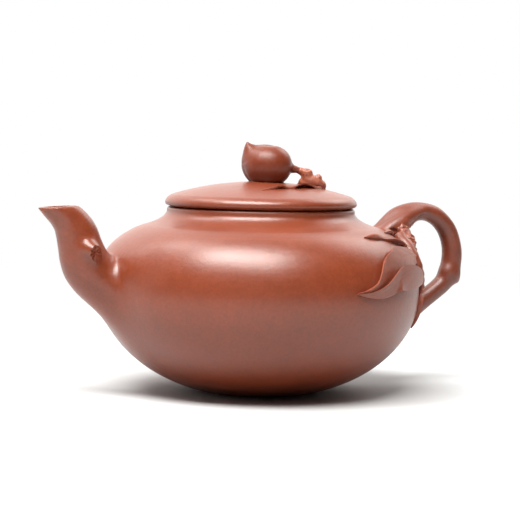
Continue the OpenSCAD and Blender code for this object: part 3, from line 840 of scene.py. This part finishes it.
keep(shaped("handle_skin", handle_piece, (40, -14, 16), (87, 11, 71), 0.42, BRANCH_CLAY,
            shade=handle_blend, merge=(pot, 4.0)),
     "pot", "red_clay", "handle_branch")
keep(shaped("handle_stub_skin", stub_piece, (72, -8, 34), (86, 7, 49), 0.25, BRANCH_CLAY, shade=stub_blend),
     "pot", "red_clay", "handle_stub")
keep(shaped("fork_skin", fork_piece, (46, -26, 44), (68, 3, 67), 0.28, BURL_CLAY, shade=fork_blend,
            merge=(pot, 0.9)),
     "pot", "red_clay", "handle_fork")
keep(shaped("big_burl_skin", big_burl_piece, (52, -14, 52), (64, -2, 64), 0.22, BURL_CLAY,
            shade=big_burl_blend, merge=(pot, 0.9)),
     "pot", "red_clay", "large_burl")
keep(shaped("small_burl_skin", small_burl_piece, (48, -20, 50), (58, -11, 60), 0.22, BURL_CLAY,
            shade=small_burl_blend, merge=(pot, 0.9)),
     "pot", "red_clay", "small_burl")


# ---- leaves on the belly ---------------------------------------------------------------------

TWIG = [
    [-17, 48, 1.6, 2.4], [-21, 41, 1.2, 2.3], [-24, 33, 1.0, 2.1], [-25.5, 24, 0.9, 1.9],
    [-26, 14, 0.8, 1.7], [-25.5, 5, 0.7, 1.4],
]
twig_line = [[*on_belly(a, b, c), r] for a, b, c, r in TWIG]


def twig_own(P):
    return tube(P, twig_line) + 0.14 * waves(P, 3.0, 21)


twig_blend, twig_piece = smoothed_on(fork_blend, twig_own, 1.6, 0.028, 0.4)

keep(shaped("leaf_twig_skin", twig_piece, (42, -32, 32), (62, -8, 62), 0.26, BRANCH_CLAY,
            shade=twig_blend, merge=(pot, 0.9)),
     "pot", "leaf_clay", "leaf_twig")

broad = leaf(
    "broad_leaf_skin",
    [[-26, 35, 1.2], [-34.5, 39.6, 1.6], [-44, 42.6, 1.7], [-54, 43.6, 2.0], [-59.5, 39, 2.3],
     [-65.4, 32.6, 2.3], [-68.6, 24, 2.3], [-71.6, 14.6, 2.1], [-75.2, 9.6, 1.6], [-79.8, 7.4, 0.9]],
    [[-26, 32, 1.6], [-33, 34, 1.6], [-41, 34.6, 1.4], [-50, 33.6, 1.3], [-56, 29, 1.2], [-61, 23, 1.2],
     [-65.5, 16, 1.2], [-70, 10.5, 1.3], [-75, 8, 1.2], [-79.8, 7.2, 0.8]],
    [[-26, 26, 1.2], [-32, 26, 1.2], [-39, 25, 1.1], [-46, 22, 1.0], [-52, 17, 1.0], [-58, 12, 1.0],
     [-63.5, 8.2, 1.0], [-69, 6.4, 1.0], [-74, 6.2, 1.0], [-79.8, 7.0, 0.7]],
    on_belly, LEAF_CLAY, 0.9, 1.9, depth=0.07)
keep(broad, "pot", "leaf_clay", "broad_leaf")
curled = leaf(
    "curled_leaf_skin",
    [[-29, 10, 1.8], [-34, 17, 2.5], [-42, 22.6, 3.0], [-50, 25.6, 3.2], [-57, 25, 3.2],
     [-62.6, 19.6, 3.1], [-67.6, 12.6, 2.7], [-72.4, 8.4, 2.0], [-76.8, 6.8, 1.4], [-80.2, 6.6, 0.8]],
    [[-28.5, 8.4, 1.5], [-33.5, 13.4, 2.0], [-41.5, 17.4, 2.3], [-49.5, 18.8, 2.4], [-56.5, 17.6, 2.3],
     [-62.4, 12.6, 2.0], [-67.6, 8, 1.7], [-72.6, 5.6, 1.5], [-77, 5.6, 1.1], [-80.2, 6.5, 0.7]],
    [[-28, 7, 1.2], [-33, 7.6, 1.1], [-41, 7, 1.0], [-48.4, 6, 1.0], [-54, 6, 1.0], [-57, 6.6, 1.4],
     [-59.2, 7.2, 2.0], [-61.6, 5.6, 1.2], [-64, 3.8, 1.0], [-69.4, 2.0, 0.9], [-75, 3.4, 0.9],
     [-80.2, 6.4, 0.6]],
    on_belly, LEAF_CLAY, 0.9, 1.7, depth=0.05)
keep(curled, "pot", "leaf_clay", "curled_leaf")
narrow = leaf(
    "narrow_leaf_skin",
    [[-19, 43.6, 1.2], [-26, 45, 1.2], [-34, 49.6, 1.2], [-43, 54, 1.0], [-51, 58.4, 0.8],
     [-58, 62.2, 1.3], [-64.8, 61.0, 0.35]],
    [[-19, 43, 1.6], [-27, 43.6, 1.4], [-35, 47.8, 1.3], [-43.6, 52.4, 1.1], [-51, 57, 0.8],
     [-58, 60, 1.7], [-64.8, 60.8, 0.35]],
    [[-19, 42.4, 1.2], [-28, 42.2, 1.2], [-36, 46, 1.8], [-44, 50.8, 1.9], [-52, 55.6, 0.7],
     [-58, 57.6, 1.2], [-64.8, 60.6, 0.35]],
    on_belly, LEAF_CLAY, 0.7, 1.5, veins=5, depth=0.08, fine=8, across=15)
keep(narrow, "pot", "leaf_clay", "narrow_leaf")
upper = leaf(
    "upper_leaf_skin",
    [[-14, 55.6, 1.2], [-22, 61.6, 1.3], [-30, 65, 1.0], [-38, 65.2, 0.35]],
    [[-14, 54.4, 1.5], [-22, 59.6, 1.4], [-30, 63, 1.2], [-38, 65, 0.35]],
    [[-14, 53.4, 1.2], [-22, 57.2, 1.3], [-30, 61, 1.6], [-38, 64.8, 0.35]],
    on_belly, LEAF_CLAY, 0.7, 1.5, veins=4, depth=0.08, fine=10, across=15)
keep(upper, "pot", "leaf_clay", "upper_leaf")
hanging = leaf(
    "hanging_leaf_skin",
    [[-27, 7, 1.3], [-30.6, 2, 1.5], [-32.6, -4, 1.7], [-32.4, -10, 1.5], [-31, -15, 1.1],
     [-28.4, -19.4, 0.6]],
    [[-26.5, 7, 1.3], [-29, 2, 1.0], [-30.4, -4, 1.0], [-30.4, -10, 0.9], [-29.6, -15, 0.9],
     [-28.2, -19.4, 0.6]],
    [[-26, 7, 1.2], [-26.4, 2, 1.3], [-27, -4, 1.4], [-27.6, -10, 1.2], [-28, -15, 0.9], [-28, -19.4, 0.6]],
    on_belly, LEAF_CLAY, 0.8, 1.9, veins=4, depth=0.12, fine=9, across=17)
keep(hanging, "pot", "leaf_clay", "hanging_leaf")


# ---- lid -------------------------------------------------------------------------------------

FLANGE_R = MOUTH_R - FLANGE_GAP
flange_low = MOUTH_Z - FLANGE_DEPTH
flange_top = MOUTH_Z - 0.015  # a hair below the flat underside of the lid, so that no faces coincide
flange_line = ([(FLANGE_R - FLANGE_WALL, flange_top), (FLANGE_R - 2.7, flange_low + 0.8)]
               + arc(FLANGE_R - 1.75, flange_low + 0.75, 0.75, 190, 270)
               + arc(FLANGE_R - 0.95, flange_low + 0.75, 0.75, 270, 350)
               + [(FLANGE_R, flange_low + 1.6), (FLANGE_R, flange_top)])
keep(turned("flange_ring", flange_line, BODY_CLAY), "flange", "red_clay", "lid_flange")

hollow_r = FLANGE_R - FLANGE_WALL
inside = [(r, float(dome_z(r)) - 3.4) for r in np.linspace(hollow_r - 1, 0, 22)]
outside = [(r, float(dome_z(r))) for r in np.linspace(0, 32.2, 48)]
# the rim is rounded under, so that a dark seam is left between it and the mouth
rim_top = (32.2, float(dome_z(32.2)))
rim_side = (LID_R, 67.6)
rim_under = (LID_R - 1.6, MOUTH_Z + 0.35)
rim = np.vstack([bezier(rim_top, (33.9, 69.6), (LID_R + 0.1, 68.4), rim_side, 16)[1:],
                 bezier(rim_side, (LID_R, 66.9), (LID_R - 0.7, 66.5), rim_under, 10)[1:],
                 [[LID_R - 2.4, MOUTH_Z + 0.1], [LID_R - 2.9, MOUTH_Z]]])
plate = turned("lid_skin", [(hollow_r, MOUTH_Z)] + inside + outside + [tuple(p) for p in rim], BODY_CLAY)


def spun(x, y, z):
    """A place in the lid's own frame, turned with the lid about the pot's axis."""
    c, s = math.cos(LID_TURN), math.sin(LID_TURN)
    return (c * x - s * y, s * x + c * y, z)


drill(plate, spun(*AIR_HOLE, 66.5), spun(*AIR_HOLE, 82), AIR_HOLE_R)
keep(plate, "lid", "red_clay", "lid_plate")


def to_lid(P):
    """Points in the lid's own frame, in which the peach's cleft runs along X."""
    c, s = math.cos(-LID_TURN), math.sin(-LID_TURN)
    return np.stack([c * P[:, 0] - s * P[:, 1], s * P[:, 0] + c * P[:, 1], P[:, 2]], -1)


def peach_own(Q):
    near_half = egg(Q, (2.4, -1.5, 81.0), np.array([8.4, 7.0, 7.5]))
    far_half = egg(Q, (1.1, 1.6, 81.1), np.array([8.2, 6.9, 7.6]))
    cheek = egg(Q, (4.7, 0.1, 82.7), np.array([5.4, 6.2, 4.9]))
    d = smin(smin(near_half, far_half, 0.7), cheek, 2.5)
    d = smax(d, -ball(Q, (2.9, -2.2, 91.2), 3.1), 1.8)
    beak = tube(Q, [[-2.6, 0, 83.2, 4.2], [-4.0, 0, 86.0, 2.6], [-4.8, 0, 87.7, 1.4],
                    [-5.2, 0, 89.1, 0.45]])
    d = smin(d, beak, 3.2)
    return smax(d, -slab(Q, (0, 0, 75.2), (0, 0, 1)), 0.4)


STEM = [[8.0, 0, 81.0, 2.5], [9.9, 0, 80.6, 1.85], [11.6, 0, 80.1, 1.35], [13.6, 0, 79.5, 1.2],
        [15.2, 0, 78.6, 1.3], [16.2, 0, 76.9, 1.4], [16.6, 0, 75.0, 1.7], [16.7, 0, 73.4, 2.0]]
LID_TWIG = [[15.0, -0.4, 74.9, 1.9], [17.2, -0.6, 75.6, 2.5], [19.2, -0.8, 75.4, 2.3],
            [20.7, -0.6, 74.8, 1.9], [22.0, -0.2, 74.0, 1.3]]
TALL = [[16.8, -0.8, 75.7, 2.2], [16.4, -1.0, 78.1, 2.0], [16.2, -1.1, 79.3, 1.85],
        [16.1, -1.1, 80.7, 1.75]]
SHORT = [[19.2, -0.7, 75.3, 1.8], [20.0, -0.8, 76.6, 1.25], [20.4, -0.8, 77.2, 1.1]]
LID_BURY = 0.42


def stem_own(Q):
    return tube(Q, STEM) + 0.08 * waves(Q, 2.5, 31)


def lid_twig_own(Q):
    return tube(Q, LID_TWIG) + 0.18 * waves(Q, 2.6, 33)


def tall_own(Q):
    d = smax(tube(Q, TALL), slab(Q, (16.2, -1.1, 79.9), (0.05, -0.3, 1)), 0.4)
    return smax(d, -ball(Q, (16.1, -1.5, 81.3), 1.9), 0.5) + 0.06 * waves(Q, 1.6, 35)


def short_own(Q):
    return smin(tube(Q, SHORT), ball(Q, (20.5, -0.9, 77.1), 1.15), 0.5)


peach_blend, peach_piece = smoothed_on(lid, peach_own, 0.7, 0.012, 0.4)
stem_blend, stem_piece = smoothed_on(peach_blend, stem_own, 1.6, 0.02, LID_BURY)
lid_twig_blend, lid_twig_piece = smoothed_on(stem_blend, lid_twig_own, 1.1, 0.028, LID_BURY)
tall_blend, tall_piece = smoothed_on(lid_twig_blend, tall_own, 1.0, 0.036, LID_BURY)
short_blend, short_piece = smoothed_on(lid_twig_blend, short_own, 0.9, 0.036, LID_BURY)


def on_turned(field):
    """A field of the lid's own frame, on the lid as it is turned."""
    return lambda P: field(to_lid(P))


def lid_box(low, high):
    """A box round a box of the lid's own frame."""
    corners = np.array([spun(x, y, z) for x in (low[0], high[0])
                        for y in (low[1], high[1]) for z in (low[2], high[2])])
    return corners.min(0), corners.max(0)


keep(shaped("peach_skin", on_turned(peach_piece), *lid_box((-9, -10.5, 73), (12, 10.5, 91)), 0.26,
            PEACH_CLAY, shade=on_turned(peach_blend)),
     "lid", "red_clay", "peach_knob")
keep(shaped("stem_skin", on_turned(stem_piece), *lid_box((5, -5, 71), (21, 5, 86)), 0.2,
            BRANCH_CLAY, shade=on_turned(stem_blend)),
     "lid", "red_clay", "peach_stem")
keep(shaped("lid_twig_skin", on_turned(lid_twig_piece), *lid_box((11, -5, 71), (26, 4, 81)), 0.2,
            STUB_CLAY, shade=on_turned(lid_twig_blend), merge=(lid, 1.0)),
     "lid", "red_clay", "lid_twig")
keep(shaped("tall_stub_skin", on_turned(tall_piece), *lid_box((12, -6, 73), (21, 4, 83)), 0.18,
            STUB_CLAY, shade=on_turned(tall_blend)),
     "lid", "red_clay", "tall_stub")
keep(shaped("short_stub_skin", on_turned(short_piece), *lid_box((17, -4, 73), (25, 3, 81)), 0.16,
            STUB_CLAY, shade=on_turned(short_blend)),
     "lid", "red_clay", "short_stub")


def on_turned_lid(x, y, up):
    """Points over the turned lid at a place in its own frame and a height above it."""
    return np.stack(spun(x, y, dome_z(np.hypot(x, y)) + up), -1)


lid_leaf = leaf(
    "lid_leaf_skin",
    [[20.5, 1, 0.6], [18.6, -2, 0.5], [16, -5, 0.4], [12.6, -9, 0.35], [9.8, -12.4, 0.3],
     [7.4, -14.8, 0.3], [4.8, -17.4, 0.3], [2.6, -20, 0.25], [0.4, -23.2, 0.12]],
    [[21.1, -1, 0.8], [19.5, -4.2, 0.7], [17.2, -7.2, 0.8], [14, -11.2, 1.0], [11, -14.4, 0.6],
     [8.7, -16.3, 0.5], [6, -18.6, 0.7], [3.4, -20.7, 0.4], [0.3, -23.4, 0.12]],
    [[21.6, -3, 0.8], [20.4, -6.5, 0.6], [18.4, -9.6, 1.15], [15.2, -13.4, 2.1], [12.4, -16.2, 1.15],
     [10, -17.8, 0.5], [7.2, -19.8, 1.5], [4.2, -21.2, 0.85], [0.2, -23.6, 0.12]],
    on_turned_lid, LEAF_CLAY, 0.5, 0.95, veins=6, depth=0.06, fine=7, across=17)
keep(lid_leaf, "lid", "leaf_clay", "lid_leaf")


# ---- floor, light and camera -----------------------------------------------------------------

YAW, PITCH, ROLL = math.radians(25), math.radians(3.863), math.radians(1.0)
DISTANCE, CAMERA_Z = 0.680, 0.093
FILM, VIEW_WIDTH = 36, 0.1872  # the view is this wide, in metres, at the pot's axis
RIGHT = Vector((math.cos(YAW), -math.sin(YAW), 0))
AWAY = Vector((math.sin(YAW), math.cos(YAW), 0))


def floor_material():
    """Pale matt paper near the pot that fades into plain white further off."""
    mat = bpy.data.materials.new("floor")
    mat.use_nodes = True
    nodes, links = mat.node_tree.nodes, mat.node_tree.links
    paper = nodes["Principled BSDF"]
    paper.inputs["Base Color"].default_value = (0.545, 0.552, 0.56, 1)
    paper.inputs["Roughness"].default_value = 0.9
    paper.inputs["Specular IOR Level"].default_value = 0.1
    white = nodes.new("ShaderNodeEmission")
    white.inputs["Color"].default_value = (1, 1, 1, 1)
    place = nodes.new("ShaderNodeTexCoord")
    shift = nodes.new("ShaderNodeVectorMath")
    shift.inputs[1].default_value = AWAY * 0.45
    links.new(place.outputs["Object"], shift.inputs[0])
    length = nodes.new("ShaderNodeVectorMath")
    length.operation = "LENGTH"
    links.new(shift.outputs["Vector"], length.inputs[0])
    fade = nodes.new("ShaderNodeMapRange")
    fade.interpolation_type = "SMOOTHSTEP"
    fade.inputs["From Min"].default_value = 0.60
    fade.inputs["From Max"].default_value = 1.10
    links.new(length.outputs["Value"], fade.inputs["Value"])
    both = nodes.new("ShaderNodeMixShader")
    links.new(fade.outputs["Result"], both.inputs[0])
    links.new(paper.outputs[0], both.inputs[1])
    links.new(white.outputs[0], both.inputs[2])
    links.new(both.outputs[0], nodes["Material Output"].inputs["Surface"])
    return mat


bm = bmesh.new()
bmesh.ops.create_grid(bm, x_segments=1, y_segments=1, size=6)
floor_mesh = bpy.data.meshes.new("floor")
bm.to_mesh(floor_mesh)
bm.free()
floor = bpy.data.objects.new("floor", floor_mesh)
floor.data.materials.append(floor_material())
bpy.context.collection.objects.link(floor)


def panel(name, right, away, up, size, power, aim=(0, 0, 0.04), colour=(1, 0.985, 0.955)):
    """A soft box placed by its distance to the right, away from the camera and up, in metres."""
    light = bpy.data.lights.new(name, "AREA")
    light.shape = "RECTANGLE"
    light.size, light.size_y = size
    light.energy = power
    light.color = colour
    obj = bpy.data.objects.new(name, light)
    at = RIGHT * right + AWAY * away + Vector((0, 0, up))
    obj.location = at
    obj.rotation_mode = "QUATERNION"
    obj.rotation_quaternion = (Vector(aim) - at).to_track_quat("-Z", "Y")
    bpy.context.collection.objects.link(obj)


panel("key_box", -0.20, -0.47, 1.12, (1.00, 0.52), 34)
panel("right_box", 0.66, 0.66, 0.90, (0.6, 0.6), 4)
panel("left_box", -0.75, 0.30, 1.20, (0.4, 0.4), 4)

world = bpy.data.worlds.new("studio")
bpy.context.scene.world = world
world.use_nodes = True
wn, wl = world.node_tree.nodes, world.node_tree.links
wn.clear()
sky = wn.new("ShaderNodeOutputWorld")
seen = wn.new("ShaderNodeBackground")
seen.inputs["Color"].default_value = (1, 1, 1, 1)
seen.inputs["Strength"].default_value = 1.0
lit = wn.new("ShaderNodeBackground")
toward = wn.new("ShaderNodeTexCoord")
side = wn.new("ShaderNodeVectorMath")
side.operation = "DOT_PRODUCT"
side.inputs[1].default_value = AWAY * 0.95 - RIGHT * 0.31
wl.new(toward.outputs["Generated"], side.inputs[0])
room = wn.new("ShaderNodeMapRange")
room.interpolation_type = "SMOOTHSTEP"
room.inputs["From Min"].default_value = -0.10
room.inputs["From Max"].default_value = 0.80
room.inputs["To Min"].default_value = 0.02
room.inputs["To Max"].default_value = 1.7
wl.new(side.outputs["Value"], room.inputs["Value"])
lit.inputs["Color"].default_value = (1, 0.985, 0.95, 1)
wl.new(room.outputs["Result"], lit.inputs["Strength"])
path = wn.new("ShaderNodeLightPath")
both = wn.new("ShaderNodeMixShader")
wl.new(path.outputs["Is Camera Ray"], both.inputs[0])
wl.new(lit.outputs[0], both.inputs[1])
wl.new(seen.outputs[0], both.inputs[2])
wl.new(both.outputs[0], sky.inputs[0])

cam = bpy.data.cameras.new("camera")
cam.sensor_width = FILM
cam.lens = FILM * DISTANCE / VIEW_WIDTH
cam.clip_start, cam.clip_end = 0.01, 50
camera = bpy.data.objects.new("camera", cam)
bpy.context.collection.objects.link(camera)
bpy.context.scene.camera = camera
look = AWAY * math.cos(PITCH) + Vector((0, 0, -math.sin(PITCH)))
camera.location = -AWAY * DISTANCE + Vector((0, 0, CAMERA_Z))
camera.rotation_mode = "QUATERNION"
roll = Matrix.Rotation(ROLL, 4, "Z").to_quaternion()
camera.rotation_quaternion = look.to_track_quat("-Z", "Y") @ roll
bpy.context.scene.view_settings.view_transform = "Standard"
